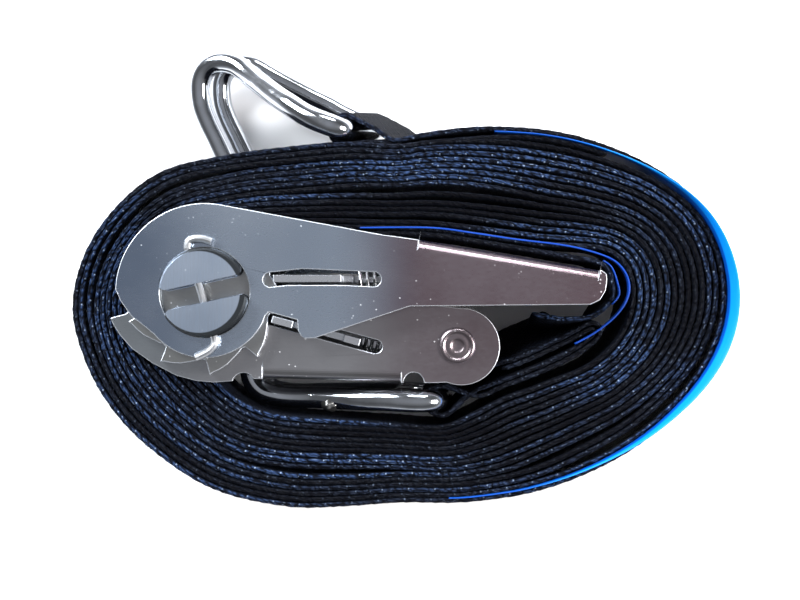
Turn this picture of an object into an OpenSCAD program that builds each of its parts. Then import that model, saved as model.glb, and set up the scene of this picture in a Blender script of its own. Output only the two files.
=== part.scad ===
// Ratchet tie down, lying on its side, with its webbing wound around it.
// Millimetres. Z runs along the spindle, X along the closed handle, Y across it.
// The origin is the middle of the webbing slot in the spindle.

// Sub-part to show

/* [Webbing] */
// Width of the webbing
strap_w = 25; // [20:1:30]
// Thickness of one layer of webbing
strap_t = 1.4; // [1.2:0.1:2.5]
// Thickness of a sewn label
label_t = 0.5; // [0.3:0.1:1]
// How far the long label stands proud of the webbing's edge
label_proud = 4.6; // [1:0.2:7]

/* [Frame] */
// Thickness of each frame side plate
frame_t = 1.7; // [1.2:0.1:3]
// Gap between the webbing's edge and a frame side plate
edge_gap = 1; // [0.5:0.1:2]
// Gap between neighbouring sheets that turn past each other
sheet_gap = 0.2; // [0.15:0.05:0.5]
// Radius of the frame's round end
frame_end_r = 9.6; // [8:0.1:12]
// Distance of the frame pin from the spindle along X
pin_x = 61.9; // [50:0.1:80]
// Distance of the frame pin from the spindle along Y
pin_y = -13.2; // [-20:0.1:-8]
// Radius of the frame pin
pin_r = 3.5; // [2.5:0.1:5]
// Radius of the frame pin's riveted head
pin_head_r = 4.5; // [4:0.1:6]

/* [Spindle and wheels] */
// Radius of the two spindle bars together
spindle_r = 10.92; // [8:0.02:14]
// Width of the slot between the two spindle bars
spindle_gap = 4.9; // [3:0.1:7]
// Angle of the slot at rest
slot_angle = 12; // [0:1:90]
// Lean of the cotter pins
cotter_turn = 16.8; // [0:0.1:40]
// Height of the spindle's ends above its middle
spindle_end = 23; // [21:0.1:26]
// Thickness of each ratchet wheel
wheel_t = 2.5; // [1.5:0.1:4]
// Radius over the teeth
tooth_tip_r = 20.4; // [18:0.1:23]
// Radius at the bottom of the teeth
tooth_root_r = 16.4; // [14:0.1:18]
// Number of teeth
teeth = 10; // [8:1:14]
// Radius of the cotter pin's wire
cotter_r = 0.95; // [0.6:0.05:1.5]

/* [Handle] */
// Thickness of each handle side plate
handle_t = 1.6; // [1.2:0.1:3]
// Radius of the handle's round end
handle_hub_r = 21.8; // [20:0.1:25]
// Reach of the grip from the spindle
grip_reach = 98.3; // [80:0.1:130]
// Radius of the bends along the grip and the frame's web
bend_r = 2.8; // [2:0.1:4]

/* [Pawl bars] */
// Thickness of the draw bar and the lock bar
bar_t = 1.7; // [1.2:0.1:2]
// Slope of the lock bar's slot
lock_slope = -15.3; // [-25:0.1:-5]
// Wire radius of the two springs
spring_wire_r = 0.45; // [0.3:0.05:0.7]
// Coil radius of the two springs
spring_coil_r = 4.2; // [3.5:0.1:5]

/* [Hooks] */
// Radius of the hook's wire
wire_r = 2.8; // [2:0.1:3.5]
// Half width of the hook's base
hook_half_w = 14; // [13:0.5:18]
// Half distance between the wires in the claw
claw_half_w = 5.8; // [3:0.1:7]
// Turn of the long hook away from the spindle's direction
long_hook_yaw = 20; // [0:1:40]
// Tilt of the long hook towards the wound webbing
long_hook_tilt = 8; // [0:1:20]
// Turn of the short hook away from the spindle's direction
short_hook_yaw = 5; // [0:1:30]

/* [Hidden] */
$fn = 72;
half_w = strap_w / 2;
frame_z = half_w + edge_gap;
wheel_z = frame_z + frame_t + sheet_gap;
handle_z = wheel_z + wheel_t + sheet_gap;
handle_top = handle_z + handle_t;
cotter_z = handle_top + 0.25 + cotter_r;
bore_r = spindle_r + 0.08;
tooth_step = 360 / teeth;
first_tooth = -15.4;
corner_r = 1.5;
fit = 0.04;
seam = 0.6;
slot_r = 1.7;
draw_y = 3.4;
draw_nose = 16.7;
lock_x0 = [0, -2.04];
long_base = [37.3, 42.6];
short_base = [58, -27.1];
short_turn = -28.1;
loop_in = wire_r + 0.35;
loop_out = loop_in + strap_t;
loop_half = 10.4;
steel = [0.72, 0.72, 0.73];
dark_steel = [0.6, 0.58, 0.56];
bright = [0.85, 0.87, 0.9];
navy = [0.03, 0.035, 0.07];
blue = [0.02, 0.3, 0.85];

function polar(r, a) = [r * cos(a), r * sin(a)];
function arc(c, r, a, b, n) = [for (i = [0:n]) c + polar(r, a + (b - a) * i / n)];
function between(a, b, c, d, t) =
    (2 * b + (c - a) * t + (2 * a - 5 * b + 4 * c - d) * t * t
    + (3 * b - a - 3 * c + d) * t * t * t) / 2;
function ring_curve(p, n) =
    let (m = len(p))
    [for (i = [0:m - 1]) for (j = [0:n - 1])
        between(p[(i + m - 1) % m], p[i], p[(i + 1) % m], p[(i + 2) % m], j / n)];
function open_curve(p, n) =
    let (m = len(p))
    concat([for (i = [0:m - 2]) for (j = [0:n - 1])
        between(p[max(i - 1, 0)], p[i], p[i + 1], p[min(i + 2, m - 1)], j / n)],
        [p[m - 1]]);
function unit(v) = v / norm(v);
function heading(p, i) = unit(p[min(i + 1, len(p) - 1)] - p[max(i - 1, 0)]);
function band(p, t) =
    let (side = [for (i = [0:len(p) - 1]) let (h = heading(p, i)) [-h[1], h[0]] * t / 2])
    concat([for (i = [0:len(p) - 1]) p[i] + side[i]],
        [for (i = [len(p) - 1:-1:0]) p[i] - side[i]]);
function carried(t, u, i) =
    i == len(t) ? [] :
    let (w = unit(u - (u * t[i]) * t[i])) concat([w], carried(t, w, i + 1));

// A round wire along a path
module wire(path, r, sides, first) {
    n = len(path);
    t = [for (i = [0:n - 1]) heading(path, i)];
    u = carried(t, first, 0);
    points = [for (i = [0:n - 1]) for (k = [0:sides - 1])
        path[i] + r * (cos(360 * k / sides) * u[i] + sin(360 * k / sides) * cross(t[i], u[i]))];
    walls = [for (i = [0:n - 2]) for (k = [0:sides - 1])
        [i * sides + k, i * sides + (k + 1) % sides, (i + 1) * sides + (k + 1) % sides]];
    more = [for (i = [0:n - 2]) for (k = [0:sides - 1])
        [i * sides + k, (i + 1) * sides + (k + 1) % sides, (i + 1) * sides + k]];
    start_cap = [[for (k = [sides - 1:-1:0]) k]];
    end_cap = [[for (k = [0:sides - 1]) (n - 1) * sides + k]];
    polyhedron(points, [for (f = concat(walls, more, start_cap, end_cap))
        [for (j = [len(f) - 1:-1:0]) f[j]]], convexity = 6);
}

module slab(outline, low, high) {
    translate([0, 0, low])
        linear_extrude(high - low)
            polygon(outline);
}

module both_sides() {
    children();
    mirror([0, 0, 1])
        children();
}

// A long hole with round ends
module slot(a, b, r, low, high) {
    run = b - a;
    translate([a[0], a[1], low])
        rotate([0, 0, atan2(run[1], run[0])]) {
            cylinder(r = r, h = high - low);
            translate([norm(run), 0, 0])
                cylinder(r = r, h = high - low);
            translate([0, -r, 0])
                cube([norm(run), 2 * r, high - low]);
        }
}

// A folded sheet joining two side plates, along X, with its outer face at y = 0
module folded_web(long, out_z, t, leg) {
    z = out_z - bend_r;
    inner = bend_r - t;
    profile = concat(
        [[-out_z, leg]], arc([-z, bend_r], bend_r, 180, 270, 10),
        arc([z, bend_r], bend_r, 270, 360, 10), [[out_z, leg]],
        [[out_z - t, leg]], arc([z, bend_r], inner, 360, 270, 8),
        arc([-z, bend_r], inner, 270, 180, 8), [[-out_z + t, leg]]);
    rotate([90, 0, 90])
        linear_extrude(long)
            polygon([for (p = profile) [p[1], p[0]]]);
}

frame_outline = concat(
    [[-22.2, 0.6], [-21.4, -2.2], [-20.5, -2.4], [-19.8, -3.8], [-19.8, -4.8], [-20.3, -5.3]],
    [[-24.1, -6.3], [-23.2, -8.3], [-21.6, -10.7], [-18.8, -13.9], [-13.7, -17.5]],
    [[-7.8, -20.6], [-2.9, -21.9], [1.4, -22.3], [7, -21.9], [12, -21.4], [48.4, -22.4]],
    [[56, -22.4]], arc([62.9, -13.4], frame_end_r, -112, 92, 36),
    [[52, -2.6], [40, -1.6], [28, -1.4], [21, -1.2]],
    arc([0, 0], 16, 2, 132, 36), [[-15.5, 10.6], [-20, 5.4]]);

web_start = 13.6;
web_end = 48;
web_slope = atan2(-1, 36.4);

module base_frame() {
    color(steel)
        difference() {
            union() {
                both_sides()
                    difference() {
                        slab(frame_outline, frame_z, frame_z + frame_t);
                        translate([web_start, -30, frame_z - 1])
                            cube([web_end - web_start, 11.9, frame_t + 2]);
                    }
                translate([web_start, -21.4, 0])
                    rotate([0, 0, web_slope])
                        folded_web(web_end - web_start, frame_z + frame_t, frame_t, 5.4);
                translate([web_end - frame_t, -21, -6.5])
                    cube([frame_t, 11.5, 13]);
            }
            both_sides()
                base_frame_holes();
            lock_frame()
                translate([web_end - 4, -1.3, -3.4])
                    cube([9, 2.6, 6.8]);
        }
}

module base_frame_holes() {
    low = frame_z - 1;
    high = frame_z + frame_t + 1;
    translate([0, 0, low])
        cylinder(r = bore_r, h = high - low);
    translate([pin_x, pin_y, low])
        cylinder(r = pin_r + fit, h = high - low);
    translate([8.9, -22.7, low])
        cylinder(r = 2.8, h = high - low);
    translate([51.1, -22.3, low])
        cylinder(r = 2.5, h = high - low);
    lock_frame()
        slot([16.2, 0], [43.1, 0], slot_r, low, high);
}

module frame_pin() {
    face = frame_z + frame_t;
    color(steel)
        translate([pin_x, pin_y, 0]) {
            cylinder(r = pin_r, h = 2 * face, center = true);
            both_sides()
                rotate_extrude()
                    polygon([[0, face - 0.5], [pin_r, face - 0.5], [pin_r, face + 0.02],
                        [pin_head_r, face + 0.02], [pin_head_r, face + 0.5],
                        [pin_head_r - 0.5, face + 0.9], [3.5, face + 0.95],
                        [3.1, face + 0.6], [1.9, face + 0.75], [1.3, face + 0.45],
                        [0, face + 0.3]]);
        }
}

function bar_outline(r, g, c) =
    let (a = asin((g + c) / (r - c)))
    concat(arc(polar(r - c, a), c, -90, a, 8), arc([0, 0], r, a, 180 - a, 48),
        arc(polar(r - c, 180 - a), c, 180 - a, 270, 8));

module spindle_bar() {
    edge = 0.7;
    difference() {
        rotate([0, 0, slot_angle])
            intersection() {
                slab(bar_outline(spindle_r + 0.03, spindle_gap / 2, corner_r),
                    -spindle_end, spindle_end);
                rotate_extrude()
                    polygon([[0, -spindle_end], [spindle_r - edge, -spindle_end],
                        [spindle_r, edge - spindle_end], [spindle_r, spindle_end - edge],
                        [spindle_r - edge, spindle_end], [0, spindle_end]]);
            }
        children();
    }
}

module cotter_holes() {
    for (z = [-cotter_z, cotter_z])
        translate([-0.7, 0, z])
            rotate([90, 0, cotter_turn])
                cylinder(r = cotter_r + 0.06, h = 40, center = true);
}

module spindle_upper() {
    color(dark_steel)
        spindle_bar()
            cotter_holes();
}

module spindle_lower() {
    color(dark_steel)
        rotate([0, 0, 180])
            spindle_bar()
                rotate([0, 0, 180])
                    cotter_holes();
}

function tooth(a) = concat(
    [polar(tooth_tip_r, a), polar(tooth_tip_r - 0.6, a + 2.4), polar(tooth_tip_r - 1.2, a + 8)],
    [polar(tooth_tip_r - 1.9, a + 14), polar(tooth_tip_r - 2.8, a + 20)],
    [polar(tooth_root_r + 0.4, a + 27), polar(tooth_root_r, a + 30)],
    [polar(tooth_root_r + 0.2, a + 33), polar(tooth_root_r + 1.2, a + 34.2)]);

module ratchet_wheel() {
    outline = [for (i = [0:teeth - 1]) each tooth(first_tooth + i * tooth_step)];
    hole = bar_outline(spindle_r + fit, spindle_gap / 2 - fit, corner_r + fit);
    color(steel)
        difference() {
            slab(outline, wheel_z, wheel_z + wheel_t);
            rotate([0, 0, slot_angle])
                slab(hole, wheel_z - 1, wheel_z + wheel_t + 1);
            rotate([0, 0, slot_angle + 180])
                slab(hole, wheel_z - 1, wheel_z + wheel_t + 1);
        }
}

module ratchet_wheel_front() {
    ratchet_wheel();
}

module ratchet_wheel_rear() {
    mirror([0, 0, 1])
        ratchet_wheel();
}

module cotter_pin(z) {
    line = [[1.9, 12.3], [0.2, 12.9], [-1.9, 13.1], [-3.6, 12.5], [-4.03, 11]];
    foot = [[2.65, -11.1], [2.6, -12.6], [1.5, -14], [-0.3, -15.1], [-1.9, -15.8]];
    flat = concat(open_curve(line, 5), open_curve(foot, 5));
    color(steel)
        wire([for (p = flat) [p[0], p[1], z]], cotter_r, 12, [0, 0, 1]);
}

module cotter_pin_front() {
    cotter_pin(cotter_z);
}

module cotter_pin_rear() {
    cotter_pin(-cotter_z);
}

handle_outline = concat(
    arc([0, 0], handle_hub_r, 79.5, 178, 40),
    [polar(20.6, 186), polar(18.8, 198), polar(16.7, 211)], arc([0, 0], 16, 220, 333, 44),
    [[14.8, -5.7], [15.7, -4.8], [22.6, -6.7], [22.8, -9.4], [23.5, -10.6], [24.7, -11.3]],
    [[26.8, -11.2], [50.1, -3.4], [94.2, -3], [96.5, -1.9], [97.9, 0.4]],
    [[grip_reach, 3.2], [98.1, 4.6], [97, 5.4], [94.6, 5.8], [74.4, 9.6], [52.9, 12.8]],
    [[42.8, 14.2], [20.8, 18.3]]);

grip_start = 52.4;
grip_end = 96.6;
grip_slope = atan2(-7.1, 41.7);

module handle() {
    long = (grip_end - grip_start) / cos(grip_slope);
    color(steel)
        union() {
            both_sides()
                difference() {
                    slab(handle_outline, handle_z, handle_top);
                    translate([0, 0, handle_z - 1])
                        cylinder(r = bore_r, h = handle_t + 2);
                    slot([16, 3.1], [24, 4], 1.75, handle_z - 1, handle_top + 1);
                    slot([24, 4], [41.3, 3.2], 1.75, handle_z - 1, handle_top + 1);
                    slot([16.4, draw_y], [41.3, draw_y], 1.6, handle_z - 1, handle_top + 1);
                    translate([grip_start, 12.95, handle_z - 1])
                        rotate([0, 0, grip_slope])
                            translate([0, -4, 0])
                                cube([long, 9, handle_t + 2]);
                }
            translate([grip_start, 12.95, 0])
                rotate([0, 0, grip_slope])
                    mirror([0, 1, 0])
                        folded_web(long, handle_top, handle_t, 4 + seam);
            difference() {
                slab([[50.6, 2], [52.4, 2], [54.6, 11.9], [grip_start, 12.2], [50.6, 9]],
                    -16.5, 16.5);
                translate([49, draw_y - 1.4, -3.6])
                    cube([8, 2.8, 7.2]);
            }
        }
}

module draw_bar() {
    low = draw_y - bar_t / 2;
    clear_r = 22.9;
    color(steel)
        translate([0, low, 0]) {
            translate([draw_nose, 0, -frame_z + 0.5])
                cube([19.3, bar_t, 2 * frame_z - 1]);
            translate([35, 0, -3])
                cube([22.6, bar_t, 6]);
            translate([56, -3.6, -9])
                cube([1.6, 3.6 + bar_t, 18]);
            both_sides() {
                translate([clear_r, 0, frame_z - 1])
                    cube([33.4 - clear_r, bar_t, handle_top - frame_z + 0.8]);
                translate([draw_nose, 0, handle_z + 0.05])
                    cube([33.4 - draw_nose, bar_t, handle_t + 0.1]);
            }
        }
}

module coil(long, turns) {
    steps = turns * 12;
    path = [for (i = [0:steps]) [long * i / steps,
        spring_coil_r * cos(30 * i), spring_coil_r * sin(30 * i)]];
    wire(path, spring_wire_r, 8, [1, 0, 0]);
}

module draw_spring() {
    color(bright)
        translate([37, draw_y, 0])
            coil(12.9, 7);
}

module lock_frame() {
    translate([lock_x0[0], lock_x0[1], 0])
        rotate([0, 0, lock_slope])
            children();
}

module lock_bar() {
    color(steel)
        lock_frame()
            translate([0, -bar_t / 2, 0]) {
                translate([17, 0, -frame_z + 0.5])
                    cube([22.2, bar_t, 2 * frame_z - 1]);
                translate([38, 0, -3])
                    cube([11.8, bar_t, 6]);
                both_sides() {
                    translate([17, 0, frame_z - 1])
                        cube([7, bar_t, frame_t + 1 + sheet_gap / 2]);
                    translate([35, 0, frame_z - 1])
                        cube([4.2, bar_t, frame_t + 1.8]);
                    translate([20.4, 0, frame_z])
                        cube([1.9, bar_t, handle_top - frame_z]);
                    translate([17, 0, handle_z])
                        cube([5.3, bar_t, handle_t]);
                }
            }
}

module lock_spring() {
    color(bright)
        lock_frame()
            translate([40, 0, 0])
                coil(6.1, 4);
}

// The wound webbing, seen along the spindle
roll_outer = [
    [-34.4, -1.9], [-28.7, 14.8], [-14.4, 29.2], [2.9, 34.3], [22.2, 36.9], [41.6, 38.8],
    [59.2, 41.5], [83.7, 41], [102.8, 35.8], [118.1, 26.9], [127, 16.9], [131.4, 1.4],
    [128.3, -14.8], [118.1, -29.1], [103.3, -40.9], [84.2, -49.2], [65.2, -52.4],
    [47.7, -52.6], [33, -53.6], [19.1, -53.6], [0.7, -49.2], [-14.8, -39.2],
    [-25.3, -28.1], [-31.8, -15.5]
];
roll_inner = [
    [-11.6, 0], [-9.5, 7.4], [-4.6, 11.6], [5, 13.8], [20, 14.3], [38, 14.3], [55, 13.9],
    [75, 10.8], [90, 8.2], [97.2, 7], [100.6, 3.5], [101, -2.5], [98.5, -7], [95, -11.5],
    [91.2, -17.6], [82, -22.5], [73, -26.1], [66, -30], [58, -33.2], [46, -32.6],
    [30, -31.6], [17, -30.4], [9.4, -27.8], [3.4, -23.4], [-3.4, -16.6], [-9.4, -8.6]
];

module long_strap() {
    color(navy)
        difference() {
            slab(ring_curve(roll_outer, 5), -half_w, half_w);
            slab(ring_curve(roll_inner, 5), -half_w - 1, half_w + 1);
            long_hook_frame()
                cylinder(r = loop_out + 0.3, h = 2 * loop_half + 0.8, center = true);
        }
}

module long_hook_frame() {
    translate([long_base[0], long_base[1], 0])
        rotate([long_hook_tilt, -long_hook_yaw, 0])
            children();
}

module end_loop() {
    color(navy)
        long_hook_frame()
            difference() {
                union() {
                    cylinder(r = loop_out, h = 2 * loop_half, center = true);
                    slab([[0, -4], [5, -2.3], [9.4, -1], [9.4, 1.4], [3, 4.1], [0, loop_out]],
                        -loop_half, loop_half);
                }
                cylinder(r = loop_in, h = 2 * loop_half + 1, center = true);
            }
}

module inner_end() {
    path = [[98.4, -3.9], [96.4, -5.6], [93, -6.3], [88, -6.4], [84, -5.8], [80.7, -5]];
    color(navy)
        slab(band(open_curve(path, 5), 1.2), -half_w, half_w);
}

long_label_path = [
    [72, 39.6], [86, 38.9], [101.6, 34], [116.4, 25.4], [125, 15.8], [129, 1.4],
    [126, -13.8], [116.4, -27.6], [102.2, -39], [83.6, -47.2], [64, -50.2]
];

module long_label() {
    color(blue)
        slab(band(open_curve(long_label_path, 6), label_t), half_w, half_w + label_proud);
}

inner_label_path = [
    [37.7, 16.2], [55.2, 16.2], [66, 14.9], [76, 13.4], [87.5, 12], [94.4, 10.6],
    [100.7, 8.3], [104, 5], [105, 1], [103.9, -2.7], [101, -6.4], [96.4, -10]
];

module inner_label() {
    color(blue)
        slab(band(open_curve(inner_label_path, 6), label_t), half_w, half_w + 0.6);
}

function hook_half(shank, bend, claw) = concat(
    [[0, 0, 6], [0, 0, hook_half_w - 3.4], [-1, 0.5, hook_half_w - 1.4]], shank,
    [for (p = concat(bend, claw)) [p[0], p[1], claw_half_w]]);

function hook_path(half) =
    open_curve(concat([for (i = [len(half) - 1:-1:0]) [half[i][0], half[i][1], -half[i][2]]],
        [[0, 0, 0]], half), 3);

long_shank = [
    [-3.4, 1.6, 13.8], [-6.6, 2.9, 14], [-10.1, 4.6, 13.5], [-13.6, 6.8, 12.8],
    [-17.5, 9, 11.4], [-21.7, 11.6, 9.6], [-25.6, 14.1, 7.8], [-29.3, 16.6, 6.4],
    [-32.1, 18.5, 5.9]
];
long_bend = arc([-36.5, 12.9], 6.6, 84, 182, 4);
long_claw = [[-42.9, 8.5], [-41.5, 4.2], [-39.3, -0.6], [-36.9, -5.9]];
short_shank = [
    [-3.6, 1.9, 13.8], [-7.2, 3.7, 14], [-11.6, 5.9, 13], [-18.3, 9.5, 11],
    [-24, 12.5, 8.6], [-28.5, 14.9, 6.8], [-33, 17.4, 6], [-36.2, 18.9, 5.8]
];
short_bend = arc([-40.6, 13.8], 6.3, 62, 182, 4);
short_claw = [[-46.5, 8.6]];

module long_hook() {
    color(bright)
        long_hook_frame()
            wire(hook_path(hook_half(long_shank, long_bend, long_claw)), wire_r, 16, [0, 1, 0]);
}

module short_hook() {
    color(bright)
        translate([short_base[0], short_base[1], 0])
            rotate([0, -short_hook_yaw, 0])
                rotate([0, 0, short_turn])
                    mirror([0, 1, 0])
                        wire(hook_path(hook_half(short_shank, short_bend, short_claw)),
                            wire_r, 16, [0, 1, 0]);
}

short_path = [
    [63, -18.2], [68, -18.9], [73, -18.4], [80, -16], [86.5, -13], [90, -12.6],
    [91.2, -14.6], [89, -16.8], [80, -20.4], [73, -22.9], [66, -25.6], [60.2, -28.1]
];

module short_strap() {
    color(navy)
        difference() {
            union() {
                translate([pin_x, pin_y, 0])
                    cylinder(r = pin_r + 0.1 + strap_t, h = strap_w, center = true);
                difference() {
                    slab(band(open_curve(short_path, 5), 2 * strap_t), -half_w, half_w);
                    translate([short_base[0], short_base[1], 0])
                        for (z = [-loop_half - 10, loop_half])
                            translate([-7.6, -7.6, z])
                                cube([15.2, 15.2, 10]);
                }
                translate([short_base[0], short_base[1], 0])
                    rotate([0, -short_hook_yaw, 0])
                        cylinder(r = loop_out, h = 2 * loop_half, center = true);
            }
            translate([pin_x, pin_y, 0])
                cylinder(r = pin_r + 0.1, h = strap_w + 2, center = true);
            translate([short_base[0], short_base[1], 0])
                rotate([0, -short_hook_yaw, 0])
                    cylinder(r = loop_in, h = strap_w + 6, center = true);
        }
}

base_frame();
frame_pin();
spindle_upper();
spindle_lower();
ratchet_wheel_front();
ratchet_wheel_rear();
cotter_pin_front();
cotter_pin_rear();
handle();
draw_bar();
draw_spring();
lock_bar();
lock_spring();
long_strap();
end_loop();
inner_end();
long_label();
inner_label();
long_hook();
short_strap();
short_hook();
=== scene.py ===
import math

import bpy
import numpy as np
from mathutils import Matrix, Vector


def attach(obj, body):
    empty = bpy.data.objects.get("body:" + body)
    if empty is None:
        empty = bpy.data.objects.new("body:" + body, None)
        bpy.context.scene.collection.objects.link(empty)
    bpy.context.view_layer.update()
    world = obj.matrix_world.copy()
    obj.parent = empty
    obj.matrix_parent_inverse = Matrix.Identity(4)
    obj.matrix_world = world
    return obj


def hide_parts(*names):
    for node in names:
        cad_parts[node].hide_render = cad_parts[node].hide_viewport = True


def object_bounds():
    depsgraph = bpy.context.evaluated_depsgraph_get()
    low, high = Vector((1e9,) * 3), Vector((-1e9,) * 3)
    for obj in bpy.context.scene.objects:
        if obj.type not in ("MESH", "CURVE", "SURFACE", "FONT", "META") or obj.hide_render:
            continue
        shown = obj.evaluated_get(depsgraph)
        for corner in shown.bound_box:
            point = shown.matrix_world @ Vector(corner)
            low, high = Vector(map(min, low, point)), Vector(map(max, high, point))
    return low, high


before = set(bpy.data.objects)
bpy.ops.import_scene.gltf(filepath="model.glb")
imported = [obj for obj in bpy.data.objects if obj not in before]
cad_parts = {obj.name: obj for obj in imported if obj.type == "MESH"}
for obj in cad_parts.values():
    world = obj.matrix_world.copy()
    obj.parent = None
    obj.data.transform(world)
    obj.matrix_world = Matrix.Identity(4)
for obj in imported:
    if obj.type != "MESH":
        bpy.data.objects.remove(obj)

MM = 0.001
CAD_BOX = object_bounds()
SCENE = bpy.context.scene


# ---------------------------------------------------------------- curves

def catmull(points, per_piece, closed=False):
    """A smooth line through the points."""
    p = np.array(points, float)
    n = len(p)
    out = []
    for i in range(n if closed else n - 1):
        if closed:
            a, b, c, d = p[i - 1], p[i], p[(i + 1) % n], p[(i + 2) % n]
        else:
            a, b, c, d = p[max(i - 1, 0)], p[i], p[i + 1], p[min(i + 2, n - 1)]
        t = (np.arange(per_piece) / per_piece)[:, None]
        out.append((2 * b + (c - a) * t + (2 * a - 5 * b + 4 * c - d) * t**2
                    + (3 * b - a - 3 * c + d) * t**3) / 2)
    if not closed:
        out.append(p[-1:])
    return np.concatenate(out)


def lengths(p):
    """How far along the line each point is."""
    return np.concatenate([[0], np.cumsum(np.linalg.norm(np.diff(p, axis=0), axis=1))])


def resample(p, step):
    s = lengths(p)
    at = np.linspace(0, s[-1], max(2, int(round(s[-1] / step)) + 1))
    return np.stack([np.interp(at, s, p[:, k]) for k in range(p.shape[1])], axis=1)


def arc(centre, radius, degrees):
    a = np.radians(degrees)
    return centre + radius * np.stack([np.cos(a), np.sin(a)], 1)


def blur(values, reach, closed=False):
    """A running average, repeated twice."""
    reach = max(1, int(reach))
    v = np.array(values, float)
    flat = v.ndim == 1
    if flat:
        v = v[:, None]
    kernel = np.hanning(2 * reach + 3)[1:-1]
    kernel /= kernel.sum()
    pad = len(kernel) // 2
    if closed:
        w = np.concatenate([v[-pad:], v, v[:pad]])
    else:
        w = np.concatenate([np.repeat(v[:1], pad, 0), v, np.repeat(v[-1:], pad, 0)])
    out = np.stack([np.convolve(w[:, k], kernel, "valid") for k in range(v.shape[1])], 1)
    return out[:, 0] if flat else out


def smooth(x, a, b):
    """0 before a, 1 after b, and a soft step between."""
    t = np.clip((np.asarray(x, float) - a) / (b - a), 0, 1)
    return t * t * (3 - 2 * t)


def waves(s, seed, size, longest):
    """A slow wander along the strap, the same on every run."""
    rng = np.random.default_rng(seed)
    total = np.zeros_like(s)
    for k in range(6):
        total += rng.uniform(0.4, 1) * np.sin(2 * math.pi * s / (longest / (1 + 0.83 * k))
                                              + rng.uniform(0, 2 * math.pi))
    return size * total / 3


# ---------------------------------------------------------------- meshes

def make_piece(name, verts, faces, material, body, attributes=None):
    mesh = bpy.data.meshes.new(name)
    mesh.from_pydata([tuple(v) for v in np.asarray(verts) * MM], [], faces)
    mesh.shade_smooth()
    for label, values in (attributes or {}).items():
        values = np.asarray(values, np.float32)
        kind = "FLOAT_VECTOR" if values.ndim == 2 else "FLOAT"
        layer = mesh.attributes.new(label, kind, "POINT")
        layer.data.foreach_set("vector" if values.ndim == 2 else "value", values.ravel())
    mesh.update()
    mesh.materials.append(material)
    piece = bpy.data.objects.new(name, mesh)
    SCENE.collection.objects.link(piece)
    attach(piece, body)
    return piece


def ring_faces(count, sides):
    """Faces of a closed section carried along a line, with a cap at each end."""
    i = np.arange(count - 1)[:, None] * sides
    k = np.arange(sides)[None, :]
    n = (k + 1) % sides
    quads = np.stack([i + k, i + n, i + sides + n, i + sides + k], axis=-1).reshape(-1, 4)
    faces = [tuple(int(x) for x in q) for q in quads]
    faces.append(tuple(range(sides - 1, -1, -1)))
    faces.append(tuple(range((count - 1) * sides, count * sides)))
    return faces


def tube(name, path, wire_radius, sides, material, body):
    """A round wire with domed ends along a line in millimetres."""
    p = np.array(path, float)
    radius = np.full(len(p), float(wire_radius))
    t = np.gradient(p, axis=0)
    t /= np.linalg.norm(t, axis=1)[:, None]
    steps = 5
    head, tail, head_r, tail_r = [], [], [], []
    for j in range(steps, 0, -1):
        a = math.pi / 2 * j / (steps + 0.4)
        head.append(p[0] - t[0] * radius[0] * math.sin(a))
        head_r.append(radius[0] * math.cos(a))
        tail.insert(0, p[-1] + t[-1] * radius[-1] * math.sin(a))
        tail_r.insert(0, radius[-1] * math.cos(a))
    p = np.concatenate([head, p, tail])
    t = np.concatenate([[t[0]] * steps, t, [t[-1]] * steps])
    radius = np.concatenate([head_r, radius, tail_r])
    u = np.zeros_like(p)
    last = np.array([0.0, 0.0, 1.0])
    for i in range(len(p)):
        last = last - t[i] * (last @ t[i])
        last /= np.linalg.norm(last)
        u[i] = last
    v = np.cross(t, u)
    a = np.arange(sides) * 2 * math.pi / sides
    cu, cv = np.cos(a), np.sin(a)
    rings = p[:, None] + radius[:, None, None] * (
        cu[None, :, None] * u[:, None] + cv[None, :, None] * v[:, None])
    along = np.repeat(lengths(p), sides)
    return make_piece(name, rings.reshape(-1, 3), ring_faces(len(p), sides), material, body,
                      {"along": along})


# ---------------------------------------------------------------- material graphs

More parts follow.
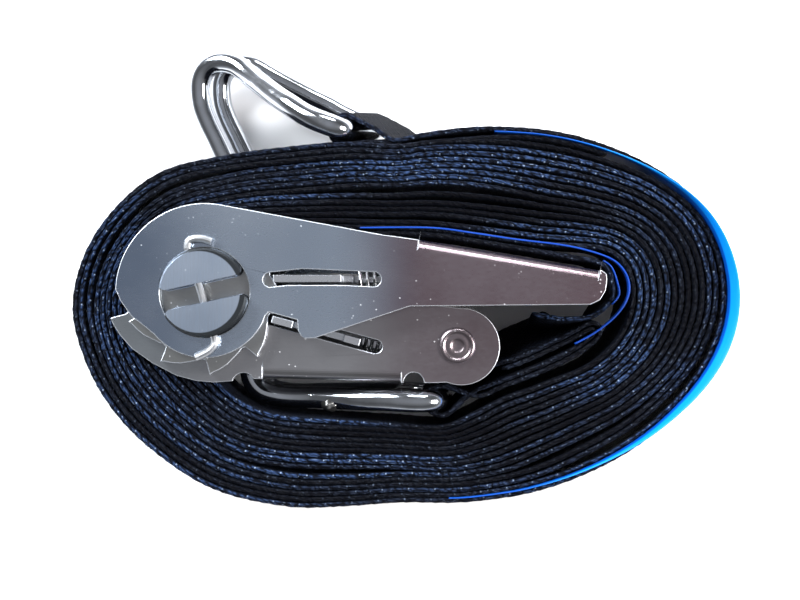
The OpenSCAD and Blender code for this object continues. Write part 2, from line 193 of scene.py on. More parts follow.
class Graph:
    """A short way to write a material's nodes."""

    def __init__(self, name):
        self.material = bpy.data.materials.new(name)
        self.material.use_nodes = True
        self.tree = self.material.node_tree
        self.tree.nodes.clear()
        self.bsdf = self.node("ShaderNodeBsdfPrincipled")
        out = self.node("ShaderNodeOutputMaterial")
        self.tree.links.new(self.bsdf.outputs["BSDF"], out.inputs["Surface"])
        self.place = self.node("ShaderNodeTexCoord").outputs["Object"]

    def node(self, kind, **settings):
        made = self.tree.nodes.new(kind)
        for key, value in settings.items():
            setattr(made, key, value)
        return made

    def put(self, socket, value):
        if isinstance(value, bpy.types.NodeSocket):
            self.tree.links.new(value, socket)
        elif isinstance(value, tuple) and len(value) == 3 and len(socket.default_value) == 4:
            socket.default_value = (*value, 1)
        else:
            socket.default_value = value

    def set(self, **values):
        for key, value in values.items():
            self.put(self.bsdf.inputs[key.replace("_", " ")], value)
        return self

    def math(self, operation, *values, clamp=False):
        made = self.node("ShaderNodeMath", operation=operation, use_clamp=clamp)
        for socket, value in zip(made.inputs, values):
            self.put(socket, value)
        return made.outputs[0]

    def vector(self, operation, *values):
        made = self.node("ShaderNodeVectorMath", operation=operation)
        for socket, value in zip(made.inputs, values):
            self.put(socket, value)
        return made.outputs[0]

    def length(self, vector):
        made = self.node("ShaderNodeVectorMath", operation="LENGTH")
        self.put(made.inputs[0], vector)
        return made.outputs["Value"]

    def combine(self, x, y, z=0.0):
        made = self.node("ShaderNodeCombineXYZ")
        for socket, value in zip(made.inputs, (x, y, z)):
            self.put(socket, value)
        return made.outputs[0]

    def split(self, vector):
        made = self.node("ShaderNodeSeparateXYZ")
        self.put(made.inputs[0], vector)
        return made.outputs

    def mix(self, factor, a, b):
        made = self.node("ShaderNodeMix", data_type="RGBA")
        self.put(made.inputs[0], factor)
        self.put(made.inputs[6], a)
        self.put(made.inputs[7], b)
        return made.outputs[2]

    def step(self, value, low, high, start=0.0, end=1.0):
        made = self.node("ShaderNodeMapRange", interpolation_type="SMOOTHSTEP")
        for socket, x in zip(made.inputs, (value, low, high, start, end)):
            self.put(socket, x)
        return made.outputs[0]

    def noise(self, vector, scale, detail=2.0, roughness=0.5):
        made = self.node("ShaderNodeTexNoise")
        self.put(made.inputs["Vector"], vector)
        self.put(made.inputs["Scale"], scale)
        self.put(made.inputs["Detail"], detail)
        self.put(made.inputs["Roughness"], roughness)
        return made.outputs[0]

    def cells(self, vector, scale, randomness=1.0, flat=False):
        made = self.node("ShaderNodeTexVoronoi", voronoi_dimensions="2D" if flat else "3D")
        self.put(made.inputs["Vector"], vector)
        self.put(made.inputs["Scale"], scale)
        self.put(made.inputs["Randomness"], randomness)
        return made.outputs["Distance"]

    def attribute(self, name):
        return self.node("ShaderNodeAttribute", attribute_name=name)

    def bump(self, height, strength, distance, under=None):
        made = self.node("ShaderNodeBump")
        self.put(made.inputs["Strength"], strength)
        self.put(made.inputs["Distance"], distance)
        self.put(made.inputs["Height"], height)
        if under is not None:
            self.put(made.inputs["Normal"], under)
        return made.outputs[0]


def steel(name, tints_with_painted_reflection, rough, speck=1.0, grain=(700, 1600, 1600), grain_depth=0.12,
          mark=0.16, painted_shade_outside=None):
    """Plated steel: fine grain, dust specks, and a tint that changes along X at the hub, the
    middle and the grip, a painted reflection of the room in the plates. The last argument is a
    centre and a radius; outside it lies a dark rim of painted shade."""
    g = Graph(name)
    x = g.split(g.place)[0]
    hub, middle, grip = tints_with_painted_reflection
    # painted reflection: the colour moves along X from the hub tint through the middle tint to the
    # grip tint, standing in for the room reflected in the plates
    tint_with_painted_reflection = g.mix(g.step(x, -0.018, 0.008), hub, middle)
    tint_with_painted_reflection = g.mix(g.step(x, 0.03, 0.056), tint_with_painted_reflection, grip)
    cloud = g.noise(g.place, 28, 3)
    lines = g.noise(g.vector("MULTIPLY", g.place, grain), 1, 3, 0.6)
    dust = g.step(g.cells(g.place, 560), 0.07, 0.15, 1, 0)
    few = g.step(g.noise(g.place, 160, 1), 0.5, 0.62)
    dust = g.math("MULTIPLY", dust, few)
    fine = g.noise(g.place, 2600, 2)
    dark = g.mix(g.step(lines, 0.3, 0.75, 0, mark), tint_with_painted_reflection, (0.17, 0.175, 0.2))
    colour = g.mix(g.step(cloud, 0.35, 0.7, 0, 0.16), dark, (0.7, 0.72, 0.76))
    colour = g.mix(g.math("MULTIPLY", dust, 0.6 * speck), colour, (0.9, 0.92, 0.95))
    # painted shade: outside the given radius the colour turns near black, for the shadowed
    # shoulder round a ground end face
    if painted_shade_outside is not None:
        centre, radius = painted_shade_outside
        flat = g.vector("MULTIPLY", g.place, (1.0, 1.0, 0.0))
        away = g.length(g.vector("SUBTRACT", flat, centre))
        painted_shade_rim = g.step(away, radius - 0.0001, radius + 0.0002)
        colour = g.mix(painted_shade_rim, colour, (0.045, 0.05, 0.055))
    low = g.math("MULTIPLY_ADD", cloud, 0.1, rough - 0.07)
    total = g.math("MULTIPLY_ADD", lines, 0.1, low)
    total = g.math("MULTIPLY_ADD", dust, 0.25, total)
    first = g.bump(lines, grain_depth, 0.00003)
    height = g.math("MULTIPLY_ADD", dust, 2.0, fine)
    g.set(Base_Color=colour, Metallic=1.0, Roughness=total,
          Normal=g.bump(height, 0.22 * speck, 0.00003, first))
    return g.material


def chrome(name, colour=(0.6, 0.63, 0.68), rough=0.11, wave=0.12):
    """Polished wire: small waves and rub marks from tumbling."""
    g = Graph(name)
    slow = g.noise(g.place, 140, 2)
    marks = g.noise(g.vector("MULTIPLY", g.place, (300, 900, 300)), 1, 3, 0.7)
    colour = g.mix(g.step(slow, 0.3, 0.7, 0, 0.5), colour, (0.36, 0.37, 0.38))
    amount = g.math("MULTIPLY_ADD", g.step(marks, 0.5, 0.8), 0.14, rough)
    g.set(Base_Color=colour, Metallic=1.0, Roughness=amount,
          Normal=g.bump(slow, wave, 0.0006))
    return g.material


BINDER_STEP = 6.6  # mm between the pale stitches along the webbing's edge
FACE_CHEVRON, FACE_YARN = 3.1, 0.62  # mm


def webbing(name, dark=(0.0015, 0.002, 0.004), light=(0.036, 0.07, 0.17)):
    """Woven strap. weave holds the place along, through and across the strap in millimetres."""
    g = Graph(name)
    s, t, w = g.split(g.attribute("weave").outputs["Vector"])
    to_binder = g.length(g.combine(g.math("PINGPONG", s, BINDER_STEP / 2),
                                   g.math("SUBTRACT", t, 0.3)))
    drift = g.noise(g.combine(g.math("MULTIPLY", s, 0.16), g.math("MULTIPLY", t, 0.3)), 1.0, 3)
    s = g.math("MULTIPLY_ADD", drift, 7.0, s)
    # painted light and shade: this per-point value brightens lit turns, darkens shaded ones, and
    # dims the flecks with them
    painted_light = g.attribute("painted_light").outputs["Fac"]
    edge = g.step(g.math("ABSOLUTE", w), 11.3, 11.9)
    # edge: slanted stitches, loose hairs, and a pale stitch of the binder thread at each step
    row = g.math("MULTIPLY", t, 1.25)
    slant = g.math("MULTIPLY_ADD", t, 0.55, g.math("MULTIPLY", s, 1 / 1.65))
    cell = g.cells(g.combine(slant, row), 1, randomness=0.7, flat=True)
    knot = g.cells(g.combine(g.math("MULTIPLY", s, 1 / 2.2), g.math("MULTIPLY", t, 0.9)), 1,
                   randomness=0.8, flat=True)
    here = g.step(g.noise(g.combine(g.math("MULTIPLY", s, 0.11), t), 1.0, 2), 0.38, 0.62)
    patch = g.noise(g.combine(g.math("MULTIPLY", s, 0.05), t), 1.0, 2)
    small = g.math("MULTIPLY", g.step(knot, 0.05, 0.13, 0.5, 0), here)
    fleck = g.math("MAXIMUM", small, g.math(
        "MULTIPLY", g.step(to_binder, 0.08, 0.28, 1, 0),
        g.step(patch, 0.35, 0.6, 0.25, 0.8)))
    fleck = g.math("MULTIPLY", fleck, g.step(painted_light, 0.1, 0.75, 0.15, 1))
    # painted shade: the yarn darkens toward both faces of the strap, where it lies against the
    # next layer
    layer_gap_shade = g.step(g.math("ABSOLUTE", t), 0.36, 0.64, 1, 0.06)
    hair = g.noise(g.combine(g.math("MULTIPLY_ADD", t, 1.4, g.math("MULTIPLY", s, 0.9)),
                             g.math("MULTIPLY", t, 4.0), g.math("MULTIPLY", w, 4.0)), 1.6, 4, 0.75)
    thread = g.math("MULTIPLY", g.step(hair, 0.56, 0.7), edge)
    # face: chevron twill over fine warp yarns
    zig = g.math("PINGPONG", g.math("ADD", w, 30.0), FACE_CHEVRON)
    twill = g.math("SINE", g.math("MULTIPLY_ADD", zig, 3.4, g.math("MULTIPLY", s, 3.4)))
    warp = g.math("SINE", g.math("MULTIPLY", w, 2 * math.pi / FACE_YARN))
    face = g.math("MULTIPLY_ADD", warp, 0.35, g.math("MULTIPLY", twill, 0.65))
    edge_height = g.math("MULTIPLY_ADD", cell, -1.9, 1.0)
    blend = g.node("ShaderNodeMix")
    for k, value in ((0, edge), (2, face), (3, edge_height)):
        g.put(blend.inputs[k], value)
    height = g.math("MULTIPLY_ADD", hair, 0.7, blend.outputs[0])
    raised = g.step(height, 0.2, 1.5)
    # painted light: lit turns take the blue light colour, shaded turns a grey-black
    yarn = g.mix(g.step(painted_light, 0.3, 0.85), (0.026, 0.029, 0.036), light)
    body = g.mix(raised, dark, yarn)
    body = g.mix(g.math("MULTIPLY", thread, 0.7), body, (0.07, 0.1, 0.19))
    body = g.mix(g.math("MULTIPLY", fleck, edge), body, (0.32, 0.42, 0.6))
    # painted shade: the yarn goes near black where the painted light value is low and toward the
    # faces between layers
    shade = g.math("MULTIPLY", painted_light, layer_gap_shade)
    body = g.mix(shade, (0.001, 0.001, 0.002), body)
    g.set(Base_Color=body, Roughness=g.step(raised, 0, 1, 0.7, 0.45),
          Specular_IOR_Level=0.04, Sheen_Weight=0.02,
          Sheen_Roughness=0.4, Sheen_Tint=(0.45, 0.6, 1.0, 1.0),
          Normal=g.bump(height, 0.9, 0.00035))
    return g.material


def satin_label(name, colour, edge_colour, shaded=None):
    """Woven ribbon: fine threads across, a brighter cut edge, and a darker part below the
    roll's top, where it is tucked between two layers; that darker part is painted shade."""
    g = Graph(name)
    s, t, w = g.split(g.attribute("weave").outputs["Vector"])
    across = g.math("SINE", g.math("MULTIPLY", s, 2 * math.pi / 0.3))
    along = g.math("SINE", g.math("MULTIPLY", w, 2 * math.pi / 0.24))
    threads = g.math("MULTIPLY", across, along)
    worn = g.noise(g.combine(g.math("MULTIPLY", s, 0.12), w, t), 1.0, 3)
    base = g.mix(g.step(threads, -0.8, 0.9, 0, 0.3), colour, edge_colour)
    base = g.mix(g.step(worn, 0.5, 0.8, 0, 0.35), base, edge_colour)
    if shaded is not None:
        # painted shade: the label takes its shaded colour below the roll's top
        base = g.mix(g.step(w, 12.95, 13.9), shaded, base)
    g.set(Base_Color=base, Roughness=g.math("MULTIPLY_ADD", worn, 0.2, 0.35),
          Specular_IOR_Level=0.25, Normal=g.bump(threads, 0.25, 0.00006))
    return g.material


# each steel's three tints are its colour at the hub, the middle and the grip; their change along X
# is a painted reflection
PLATE = steel("plate_steel_satin", [(0.24, 0.3, 0.4), (0.46, 0.54, 0.65), (0.2, 0.125, 0.145)],
              0.24)
FRAME = steel("frame_steel_satin", [(0.36, 0.39, 0.41), (0.36, 0.355, 0.365), (0.17, 0.12, 0.13)],
              0.27)
CUT_EDGE = steel("plate_cut_edge", [(0.68, 0.72, 0.77)] * 2 + [(0.66, 0.68, 0.72)], 0.45, 0.4)
WHEEL = steel("wheel_steel", [(0.36, 0.37, 0.36), (0.38, 0.38, 0.37), (0.34, 0.32, 0.31)], 0.28)
# the spindle ends: the last argument puts a dark rim of painted shade round the ground face
GROUND = steel("spindle_ground", [(0.3, 0.36, 0.45)] * 3, 0.4, 0.8, (2300, 160, 160), 0.6, 0.3,
               ((-0.0008, 0.0001, 0.0), 0.0098))
PAWL = steel("pawl_steel", [(0.72, 0.76, 0.8), (0.74, 0.76, 0.79), (0.7, 0.66, 0.66)], 0.25)
WIRE = chrome("wire_bright", (0.82, 0.84, 0.87), 0.3, 0.08)
HOOK = chrome("hook_polished")
WELD = chrome("weld_dark", (0.13, 0.125, 0.115), 0.35, 0.5)
STRAP = webbing("webbing_navy")
AZURE = satin_label("label_azure", (0.0, 0.24, 0.86), (0.01, 0.34, 0.95), (0.0, 0.06, 0.36))
ROYAL = satin_label("label_royal", (0.001, 0.035, 0.27), (0.003, 0.07, 0.4))

FINISH = {
    "base_frame": FRAME, "handle": PLATE, "frame_pin": FRAME,
    "spindle_upper": GROUND, "spindle_lower": GROUND,
    "ratchet_wheel_front": WHEEL, "ratchet_wheel_rear": WHEEL,
    "cotter_pin_front": WIRE, "cotter_pin_rear": WIRE,
    "draw_bar": PAWL, "lock_bar": PAWL, "draw_spring": WIRE, "lock_spring": WIRE,
}
EASED = {"base_frame": 0.2, "handle": 0.2, "ratchet_wheel_front": 0.26,
         "ratchet_wheel_rear": 0.26, "spindle_upper": 0.3, "spindle_lower": 0.3,
         "draw_bar": 0.2, "lock_bar": 0.2, "frame_pin": 0.12}
PLAIN_EDGES = ("frame_pin", "spindle_upper", "spindle_lower")  # the rest get CUT_EDGE
UNCLAMPED = ("handle", "base_frame")  # their short edges would stop the bevel everywhere
for node, material in FINISH.items():
    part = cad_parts[node]
    part.data.materials.clear()
    part.data.materials.append(material)
    part.data.materials.append(CUT_EDGE)
    if node in EASED:
        weld = part.modifiers.new("weld", "WELD")
        weld.merge_threshold = 1e-6
        bevel = part.modifiers.new("eased_edges", "BEVEL")
        bevel.width = EASED[node] * MM
        bevel.segments = 3
        bevel.limit_method = "ANGLE"
        bevel.angle_limit = math.radians(50)
        bevel.harden_normals = True
        bevel.material = 0 if node in PLAIN_EDGES else 1
        bevel.use_clamp_overlap = node not in UNCLAMPED


# ---------------------------------------------------------------- the wound strap

STRAP_W, STRAP_T = 25.0, 1.3
RIB_STEP, RIB_HEIGHT = 3.3, 0.06  # mm, along the selvedge
TURNS = 15
ROLL_OUTER = [
    (-34.4, -1.9), (-28.7, 14.8), (-14.4, 29.2), (2.9, 34.3), (22.2, 36.9), (41.6, 38.8),
    (59.2, 41.5), (83.7, 41), (102.8, 35.8), (118.1, 26.9), (127, 16.9), (131.4, 1.4),
    (128.3, -14.8), (118.1, -29.1), (103.3, -40.9), (84.2, -49.2), (65.2, -52.4),
    (47.7, -52.6), (33, -53.6), (19.1, -53.6), (0.7, -49.2), (-14.8, -39.2),
    (-25.3, -28.1), (-31.8, -15.5)]
ROLL_INNER = [
    (-11.6, 0), (-9.5, 7.4), (-4.6, 11.6), (5, 13.8), (20, 14.3), (38, 14.3), (55, 13.9),
    (75, 10.8), (90, 8.2), (97.2, 7), (100.6, 3.5), (101, -2.5), (99.6, -7.6), (97.2, -12.8),
    (92, -18.2), (82, -22.9), (73, -26.2), (66, -30), (58, -33.2), (46, -32.6),
    (30, -31.6), (17, -30.4), (9.4, -27.8), (3.4, -23.4), (-3.4, -16.6), (-9.4, -8.6)]


class Roll:
    """Where a layer of the roll is, from its turn u (0 at the handle's tip, growing
    anticlockwise) and its share f of the way from the inner outline to the outer one."""

    def __init__(self):
        inner = catmull(ROLL_INNER[::-1], 24, True)
        start = int(np.argmin(np.hypot(inner[:, 0] - 101, inner[:, 1] + 0.5)))
        inner = np.roll(inner, -start, axis=0)
        ring = resample(np.concatenate([inner, inner[:1]]), 0.25)[:-1]
        t = np.roll(ring, -1, 0) - np.roll(ring, 1, 0)
        t = blur(t / np.linalg.norm(t, axis=1)[:, None], 70, True)
        t /= np.linalg.norm(t, axis=1)[:, None]
        out = np.stack([t[:, 1], -t[:, 0]], 1)
        outer = catmull(ROLL_OUTER, 16, True)
        a, b = outer, np.roll(outer, -1, 0)
        reach = np.zeros(len(ring))
        for i, (p, n) in enumerate(zip(ring, out)):
            d = b - a
            den = n[0] * d[:, 1] - n[1] * d[:, 0]
            den[np.abs(den) < 1e-9] = 1e-9
            q = a - p
            far = (q[:, 0] * d[:, 1] - q[:, 1] * d[:, 0]) / den
            part = (q[:, 0] * n[1] - q[:, 1] * n[0]) / den
            good = (part >= -1e-6) & (part <= 1 + 1e-6) & (far > 0)
            reach[i] = far[good].min()
        reach = blur(reach, 12, True)
        self.u = np.arange(len(ring) + 1) / len(ring)
        close = lambda v: np.concatenate([v, v[:1]])
        self.ring, self.out, self.reach = close(ring), close(out), close(reach)
        self.gaps = []

    def find(self, x, y):
        """The turn share u whose ray passes nearest to this point."""
        p = np.array([x, y]) - self.ring
        side = np.abs(p[:, 0] * self.out[:, 1] - p[:, 1] * self.out[:, 0])
        side[(p * self.out).sum(1) < 0] += 50
        return float(self.u[int(np.argmin(side))])

    def depth(self, turns):
        """The layer count from the inside, with the slack of every gap below it."""
        turns = np.asarray(turns, float)
        total = turns.copy()
        for middle, flat, half, size in self.gaps:
            away = turns - middle
            times = np.round(away)
            near = np.abs(away - times)
            total += np.where(times >= 1, size * (1 - smooth(near, flat, half)), 0)
        return total

    def outermost(self, u):
        """depth of the outermost layer, easing down by one layer past the strap's end."""
        u = np.asarray(u, float) % 1
        past = smooth(u, self.end, self.end + 0.07)
        return (1 - past) * self.depth(TURNS + u) + past * self.depth(TURNS - 1 + u)

    def place(self, u, depth):
        u = np.asarray(u, float) % 1
        hug = u * (1 - smooth(u, 0.86, 1.0))
        f = (depth - hug + 0.45) / (self.outermost(u) - hug + 0.45)
        look = lambda table: np.stack([np.interp(u, self.u, table[:, k]) for k in (0, 1)], -1)
        reach = np.interp(u, self.u, self.reach)
        far = f * (reach - STRAP_T / 2)
        return look(self.ring) + look(self.out) * far[..., None]


roll = Roll()
roll.end = roll.find(50, 41)
TAIL_END = roll.find(99.2, 33.9)
tail_mid, tail_half = (roll.end + TAIL_END) / 2, (roll.end - TAIL_END) / 2
roll.gaps = [
    # middle turn, flat half width, whole half width, size in layers
    (0.0, 0.02, 0.1, 1.5),
    (6 + roll.find(52, 28), 0.02, 0.13, 0.9),
    (5 + roll.find(60, 25), 0.01, 0.12, 0.6),
    (2 + roll.find(55, 20), 0.01, 0.12, 0.5),
    (TURNS - 1 + tail_mid, tail_half - 0.004, tail_half + 0.05, 1.0),
    (TURNS - 3 + roll.find(108, -34), 0.01, 0.09, 0.9),
    (TURNS - 5 + roll.find(92, -40), 0.01, 0.08, 0.6),
    (TURNS - 4 + roll.find(-14, 24), 0.01, 0.08, 0.9),
    (TURNS - 3 + roll.find(-27, 8), 0.01, 0.07, 0.5),
    (TURNS - 7 + roll.find(30, -45), 0.02, 0.1, 0.7),
]

BAR = np.array([37.3, 42.6])  # middle of the long hook's base bar
BAR_YAW, BAR_TILT = 20, 8
SHORT_BAR = np.array([58, -27.1])  # middle of the short hook's base bar
BAR_LEAN = np.array([0.364, 0.15])  # how far the bar runs in X and Y for each step in Z
LOOP_R = 3.15 + STRAP_T / 2


def long_strap_path():
    start = catmull([(80.7, -5), (84, -5.8), (88, -6.4), (93, -6.3), (96.8, -5.4),
                     (99.6, -3.2)], 20)
    turns = np.arange(0.02, TURNS + roll.end, 0.0006)
    wound = roll.place(turns, roll.depth(turns))
    loop = arc(BAR, LOOP_R, np.arange(75, 281, 5))
    back = np.linspace(roll.end - 0.012, TAIL_END, 160)
    tail = roll.place(back, roll.outermost(back) - 1)
    join_in = catmull([start[-2], start[-1], (101.2, -0.8), wound[0], wound[6]], 12)[12:-12]
    join_up = catmull([wound[-20], wound[-1], (45.2, 42.7), loop[0], loop[2]], 14)[14:-14]
    join_down = catmull([loop[-3], loop[-1], (43.6, 39.4), tail[0], tail[6]], 14)[14:-14]
    whole = np.concatenate([start[:-1], join_in, wound[1:-1], join_up, loop[1:-1], join_down,
                            tail[1:]])
    marks = lengths(whole)
    loop_from = marks[len(start) + len(join_in) + len(wound) - 3]
    loop_to = loop_from + np.sum(np.linalg.norm(np.diff(np.concatenate(
        [join_up, loop, join_down]), axis=0), axis=1))
    return whole, loop_from, loop_to


def strip(name, path, width, thick, material, body, step=0.8, painted_light=None, lift=None,
          shear=None, narrow=None, lumps=0.0, lean=None):
    """A flat band on edge along a line in the XY plane, with a ribbed, rounded selvedge."""
    p = resample(path, step)
    p = np.stack([blur(p[:, k], 2) for k in (0, 1)], 1)
    p[0], p[-1] = path[0], path[-1]
    s = lengths(p)
    t = np.gradient(p, axis=0)
    t /= np.linalg.norm(t, axis=1)[:, None]
    side = np.stack([-t[:, 1], t[:, 0]], 1)
    h, w = thick / 2, width / 2
    half = [(w - 1.3, h), (w - 0.55, 0.93 * h), (w - 0.16, 0.55 * h), (w, 0),
            (w - 0.16, -0.55 * h), (w - 0.55, -0.93 * h), (w - 1.3, -h)]
    section = np.array(half + [(-a, b) for a, b in half[::-1]])
    across = np.repeat(section[None, :, 0], len(p), 0)
    through = np.repeat(section[None, :, 1], len(p), 0)
    if lumps:
        phase = 2 * math.pi / RIB_STEP * (s + waves(s, 21, 1.6, 60))[:, None]
        rib = np.sin(phase + 1.6 * through / h) + 0.5 * np.sin(2 * phase + 2.3 - through / h)
        close = np.abs(across) > w - 1
        across = across + np.sign(across) * np.where(close, lumps * rib, 0)
        through = through * (1 + 0.08 * np.where(close, rib, 0))
    ease = np.ones(len(p))
    for k, share in enumerate((0.45, 0.8)):
        ease[k] = ease[-1 - k] = share
    through = through * ease[:, None]
    scale = np.ones(len(p)) if narrow is None else narrow(s)
    z = across * scale[:, None] + (0 if lift is None else lift(s)[:, None])
    xy = p[:, None] + side[:, None] * through[..., None]
    if shear is not None:
        xy -= shear(s)[:, None, None] * z[..., None] * BAR_LEAN
    if lean is not None:
        xy[..., 1] += lean(p)[:, None] * (width / 2 - z) / width
    verts = np.concatenate([xy, z[..., None]], -1).reshape(-1, 3)
    count = len(section)
    weave = np.stack([np.repeat(s, count), np.tile(section[:, 1], len(p)),
                      np.tile(section[:, 0], len(p))], 1)
    # painted light and shade along the strap, one value for each point
    painted_lights = np.ones(len(p)) if painted_light is None else painted_light(s, p)
    return make_piece(name, verts, ring_faces(len(p), count), material, body,
                      {"weave": weave, "painted_light": np.repeat(painted_lights, count)})


path, loop_from, loop_to = long_strap_path()


def strap_painted_light(s, p):
    """How bright the yarn is: deep shade beside the hooks and frame, and some lit turns."""
    painted_light = 0.52 + waves(s, 3, 0.6, 640)
    for x, y, wide, tall, change in SHADES:
        away = np.hypot((p[:, 0] - x) / wide, (p[:, 1] - y) / tall)
        painted_light += change * np.exp(-away ** 4)
    return np.clip(painted_light, 0.05, 1)


# painted shade where change is below zero, painted light where it is above
SHADES = [
    # middle x, middle y, half width, half height, change
    (62, 21.5, 34, 4.5, -0.75), (15, 19, 18, 3.5, -0.4), (62, 31, 26, 5, 0.3),
    (106, -20, 20, 8, 0.3), (30, -44, 34, 4, 0.2), (-24, 6, 9, 20, 0.4),
    (90, -16, 14, 5, -0.4), (50, -35, 24, 2.5, -0.4)]


def strap_shear(s):
    return smooth(s, loop_from - 22, loop_from + 2) * (1 - smooth(s, loop_to, loop_to + 26))


def strap_narrow(s):
    return 1 - 0.16 * smooth(s, loop_from - 14, loop_from + 6) * (
        1 - smooth(s, loop_to - 4, loop_to + 16))


def strap_lift(s):
    return waves(s, 11, 0.35, 900) * (1 - smooth(s, loop_from - 30, loop_from - 5))


def inner_end_lean(p):
    """The loose inner end under the grip leans; the rest of the strap stands upright."""
    beside = 1 - smooth(np.abs(p[:, 1] + 4), 3.5, 8)
    return -6 * (1 - smooth(p[:, 0], 93, 99.5)) * beside * smooth(p[:, 0], 76, 80)


strap = strip("long_webbing", path, STRAP_W, STRAP_T, STRAP, "frame", 0.8,
              strap_painted_light, strap_lift, strap_shear, strap_narrow, RIB_HEIGHT, inner_end_lean)
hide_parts("long_strap", "end_loop", "inner_end")


# ---------------------------------------------------------------- labels

def label_band(name, path, low, high, thick, lean, material):
    """A thin ribbon on edge whose front edge stands proud and leans outward."""
    p = resample(path, 0.8)
    s = lengths(p)
    t = np.gradient(p, axis=0)
    t /= np.linalg.norm(t, axis=1)[:, None]
    side = np.stack([t[:, 1], -t[:, 0]], 1)
    share = s / s[-1]
    rows = np.array([0, 0.5, 0.8, 0.9, 0.96, 0.99, 1.0])
    top = high(share)
    verts, weave = [], []
    for sign in (1, -1):
        order = rows if sign > 0 else rows[::-1]
        for r in order:
            z = low + (top - low) * r
            proud = np.clip((z - 12.0) / 5.0, 0, 1)
            out = lean(share) * proud ** 1.3 + sign * thick / 2 * (0.35 if r == 1 else 1)
            xy = p + side * out[:, None]
            verts.append(np.concatenate([xy, z[:, None]], 1))
            weave.append(np.stack([s, np.full_like(s, sign * thick / 2), z], 1))
    verts = np.stack(verts, 1).reshape(-1, 3)
    weave = np.stack(weave, 1).reshape(-1, 3)
    return make_piece(name, verts, ring_faces(len(p), 2 * len(rows)), material, "frame",
                      {"weave": weave})


u_from, u_to = roll.find(60, -51), roll.find(71.5, 40) + 1
around = np.linspace(u_from, u_to, 500)
long_label_path = roll.place(around, roll.outermost(around) - 0.5)
LABEL_LOW, LABEL_TOP, LABEL_RISE, LABEL_LEAN = -11.5, 12.9, 3.6, 2.0


def hill(share):
    """0 at the label's two ends and 1 half way along."""
    return (np.sin(np.clip(share, 0, 1) * math.pi) ** 0.8) ** 3


azure = label_band("label_long", long_label_path, LABEL_LOW,
                   lambda q: LABEL_TOP + LABEL_RISE * hill(q), 0.35,
                   lambda q: 0.1 + LABEL_LEAN * hill(q), AZURE)
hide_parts("long_label")

inner_label_path = catmull([
    (37.7, 16.2), (55.2, 16.2), (66, 14.9), (76, 13.4), (87.5, 12), (94.4, 10.6),
    (100.7, 8.3), (104, 5), (105, 1), (103.9, -2.7), (101, -6.4), (96.4, -10), (91.4, -12.8)], 12)
RIM_LOW = 10.6  # only the inner label's rim shows
royal = label_band("label_inner", inner_label_path, RIM_LOW, lambda q: 13.1 + 0 * q, 0.4,
                   lambda q: 0 * q, ROYAL)
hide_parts("inner_label")
fold_path = catmull([(98.6, 8.0), (100.6, 6.4), (101.9, 3.15), (102.5, -0.5), (100.6, -3)], 10)
label_band("label_fold", fold_path, RIM_LOW, lambda q: LABEL_TOP + 0 * q, 0.3,
           lambda q: 0 * q, ROYAL)


# ---------------------------------------------------------------- hooks

WIRE_R, CLAW_HALF, WIRE_SIDES = 2.8, 5.8, 40
SHORT_YAW, SHORT_TURN = 5, 28.1  # degrees


def bend(x, y, radius, first, last, count=4):
    """Points round the claw's bend, all at the claw's half width."""
    angles = np.radians(np.linspace(first, last, count + 1))
    return [(x + radius * math.cos(a), y + radius * math.sin(a), CLAW_HALF) for a in angles]


def hook_line(shank, claw):
    """The wire's middle line from one tip round the base to the other, in millimetres."""
    half = np.array([(0, 0, 6), (0, 0, 10.6), (-1, 0.5, 12.6), *shank, *claw], float)
    whole = np.concatenate([half[::-1] * (1, 1, -1), [(0, 0, 0)], half])
    fine = resample(catmull(whole, 12), 0.5)
    ends = fine[0].copy(), fine[-1].copy()
    fine = blur(fine, 4)
    fine[0], fine[-1] = ends
    return fine


def turn(points, axis, degrees):
    a = math.radians(degrees)
    c, s = math.cos(a), math.sin(a)
    x, y, z = points.T
    if axis == "x":
        return np.stack([x, c * y - s * z, s * y + c * z], 1)
    if axis == "y":
        return np.stack([c * x + s * z, y, -s * x + c * z], 1)
    return np.stack([c * x - s * y, s * x + c * y, z], 1)


long_line = hook_line(
    [(-3.4, 1.6, 13.8), (-6.6, 2.9, 14), (-10.1, 4.6, 13.5), (-13.6, 6.8, 12.8),
     (-17.5, 9, 11.4), (-21.7, 11.6, 9.6), (-25.6, 14.1, 7.8), (-29.3, 16.6, 6.4),
     (-32.1, 18.5, 5.9)],
    bend(-36.5, 12.9, 6.6, 84, 182) + [(x, y, CLAW_HALF) for x, y in (
        (-42.9, 8.5), (-41.5, 4.2), (-39.3, -0.6), (-36.9, -5.9))])
long_line = turn(turn(long_line, "x", BAR_TILT), "y", -BAR_YAW) + (*BAR, 0)
short_line = hook_line(
    [(-3.6, 1.9, 13.8), (-7.2, 3.7, 14), (-11.6, 5.9, 13), (-18.3, 9.5, 11), (-24, 12.5, 8.6),
     (-28.5, 14.9, 6.8), (-33, 17.4, 6), (-36.2, 18.9, 5.8)],
    bend(-40.6, 13.8, 6.3, 62, 182) + [(-46.5, 8.6, CLAW_HALF)]) * (1, -1, 1)
short_line = turn(turn(short_line, "z", -SHORT_TURN), "y", -SHORT_YAW) + (*SHORT_BAR, 0)
long_hook = tube("hook_long", long_line, WIRE_R, WIRE_SIDES, HOOK, "long_hook")
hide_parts("long_hook")
short_hook = tube("hook_short", short_line, WIRE_R, WIRE_SIDES, HOOK, "short_hook")
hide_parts("short_hook")


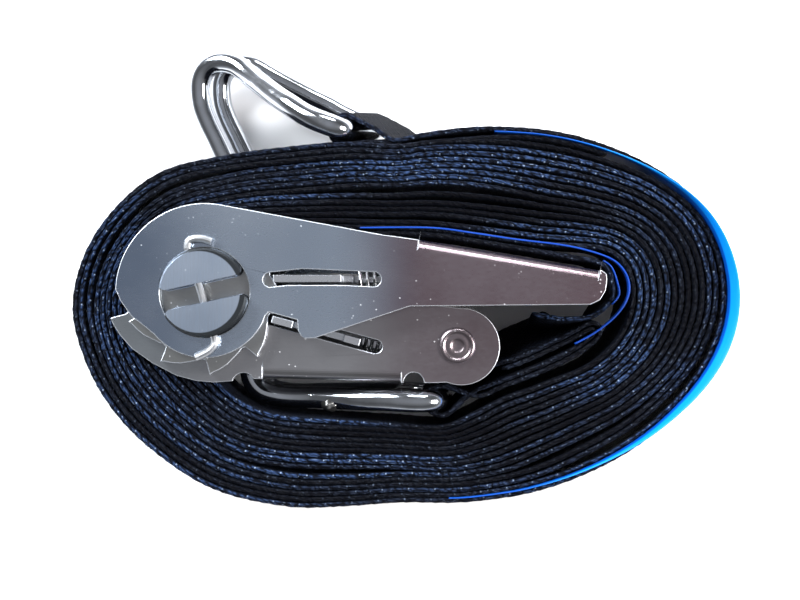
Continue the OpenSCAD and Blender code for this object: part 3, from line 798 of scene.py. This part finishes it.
def bead(name, place, radius, body):
    """A rough little lump of weld."""
    rows, sides, verts = 14, 22, []
    for i in range(rows):
        up = math.pi * (i + 0.5) / rows
        for k in range(sides):
            a = 2 * math.pi * k / sides
            n = np.array([math.sin(up) * math.cos(a), math.sin(up) * math.sin(a), math.cos(up)])
            rough = 0.09 * math.sin(5.1 * n[0] + 4.3 * n[2]) + 0.07 * math.sin(9 * n[1] - 6 * n[0])
            verts.append(place + n * radius * (1 + rough) * (1.15, 0.9, 0.9))
    make_piece(name, verts, ring_faces(rows, sides), WELD, body)


WELD_X = 29.9
near = short_line[short_line[:, 2] > 4]
spot = near[int(np.argmin(np.abs(near[:, 0] - WELD_X)))]
bead("weld_bead", spot + (0, -1.5, 1.9), 1.9, "short_hook")


# ---------------------------------------------------------------- short strap

PIN = np.array([61.9, -13.2])
PIN_LOOP_R = 3.6 + STRAP_T / 2
HALF_GAP = 0.72  # from the pair's middle to the middle of each layer


def short_strap_path():
    """Round the frame pin, out and round the fold, round the hook's bar and back."""
    middle = catmull([(68, -18.9), (73, -18.4), (78, -16.9), (86, -13.3), (92, -10.1),
                      (95.4, -8.2), (97.2, -8.6), (97, -10.4), (95, -12.4), (90.6, -15.4),
                      (86, -17.8), (80, -20.4), (73, -22.9), (66, -25.6)], 10)
    t = np.gradient(middle, axis=0)
    t /= np.linalg.norm(t, axis=1)[:, None]
    side = np.stack([-t[:, 1], t[:, 0]], 1)
    upper, lower = middle + side * HALF_GAP, middle - side * HALF_GAP
    pin_side = arc(PIN, PIN_LOOP_R, np.arange(300, 30, -12))
    bar_side = arc(SHORT_BAR, LOOP_R, np.arange(70, 330, 12))
    return catmull(np.concatenate([
        lower[2:4], pin_side[::3], upper[::8], bar_side[::3], lower[::-8][:-1]]), 8)


# painted shade: the short strap's yarn gets a low painted light value, for the shadowed hollow
# beside the frame
short = strip("short_webbing", short_strap_path(), STRAP_W, STRAP_T, STRAP, "frame",
              0.8,
              lambda s, p: 0.4 + waves(s, 5, 0.15, 90), lumps=RIB_HEIGHT,
              lean=lambda p: 7 * smooth(p[:, 0], 67, 76) * (1 - smooth(p[:, 0], 86, 93)))
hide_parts("short_strap")


# ---------------------------------------------------------------- floor, lights, camera

FLOOR_HALF, FLOOR_GAP = 1.1, 0.0002


def floor():
    g = Graph("floor_pale")
    cloud = g.noise(g.place, 9, 3)
    g.set(Base_Color=g.mix(g.step(cloud, 0.3, 0.7), (0.86, 0.86, 0.87), (0.9, 0.9, 0.9)),
          Roughness=g.math("MULTIPLY_ADD", cloud, 0.1, 0.6), Specular_IOR_Level=0.2)
    size, z = FLOOR_HALF, CAD_BOX[0].z - FLOOR_GAP
    mesh = bpy.data.meshes.new("floor")
    mesh.from_pydata([(-size, -size, z), (size, -size, z), (size, size, z), (-size, size, z)],
                     [], [(0, 1, 2, 3)])
    mesh.materials.append(g.material)
    made = bpy.data.objects.new("floor", mesh)
    SCENE.collection.objects.link(made)


def lamp(name, place, aim, size, power, colour):
    data = bpy.data.lights.new(name, "AREA")
    data.shape, data.size, data.size_y = "RECTANGLE", *size
    data.energy, data.color = power, colour
    made = bpy.data.objects.new(name, data)
    made.location = place
    made.rotation_euler = (Vector(aim) - Vector(place)).to_track_quat("-Z", "Y").to_euler()
    SCENE.collection.objects.link(made)


def surroundings():
    world = bpy.data.worlds.new("studio")
    SCENE.world = world
    world.use_nodes = True
    tree = world.node_tree
    coords = tree.nodes.new("ShaderNodeTexCoord")
    parts = tree.nodes.new("ShaderNodeSeparateXYZ")
    tree.links.new(coords.outputs["Generated"], parts.inputs[0])
    ramp = tree.nodes.new("ShaderNodeValToRGB")
    stops = ramp.color_ramp.elements
    stops[0].position, stops[0].color = 0.0, (0.62, 0.64, 0.68, 1)
    stops[1].position, stops[1].color = 1.0, (0.36, 0.37, 0.4, 1)
    for at, level in ((0.3, 0.16), (0.62, 0.12), (0.86, 0.26)):
        stops.new(at).color = (level, level * 1.02, level * 1.07, 1)
    tree.links.new(parts.outputs["Z"], ramp.inputs[0])
    back = tree.nodes["Background"]
    tree.links.new(ramp.outputs[0], back.inputs[0])
    back.inputs[1].default_value = 1.0


floor()
surroundings()
lamp("key", (-0.6, 0.62, 0.55), (0.04, 0, 0), (0.5, 0.3), 26, (0.92, 0.96, 1.0))
lamp("fill", (0.85, -0.1, 0.6), (0.05, 0, 0), (0.4, 0.4), 19, (1.0, 0.97, 0.95))
lamp("back", (0.2, 0.9, 0.55), (0.03, 0, 0), (0.5, 0.2), 9, (0.95, 0.97, 1.0))

camera = bpy.data.cameras.new("camera")
camera.sensor_width, camera.lens = 36, 54
view = bpy.data.objects.new("camera", camera)
view.location = (47.7 * MM, -1.85 * MM, 312.5 * MM)
SCENE.collection.objects.link(view)
SCENE.camera = view
SCENE.view_settings.view_transform = "Standard"
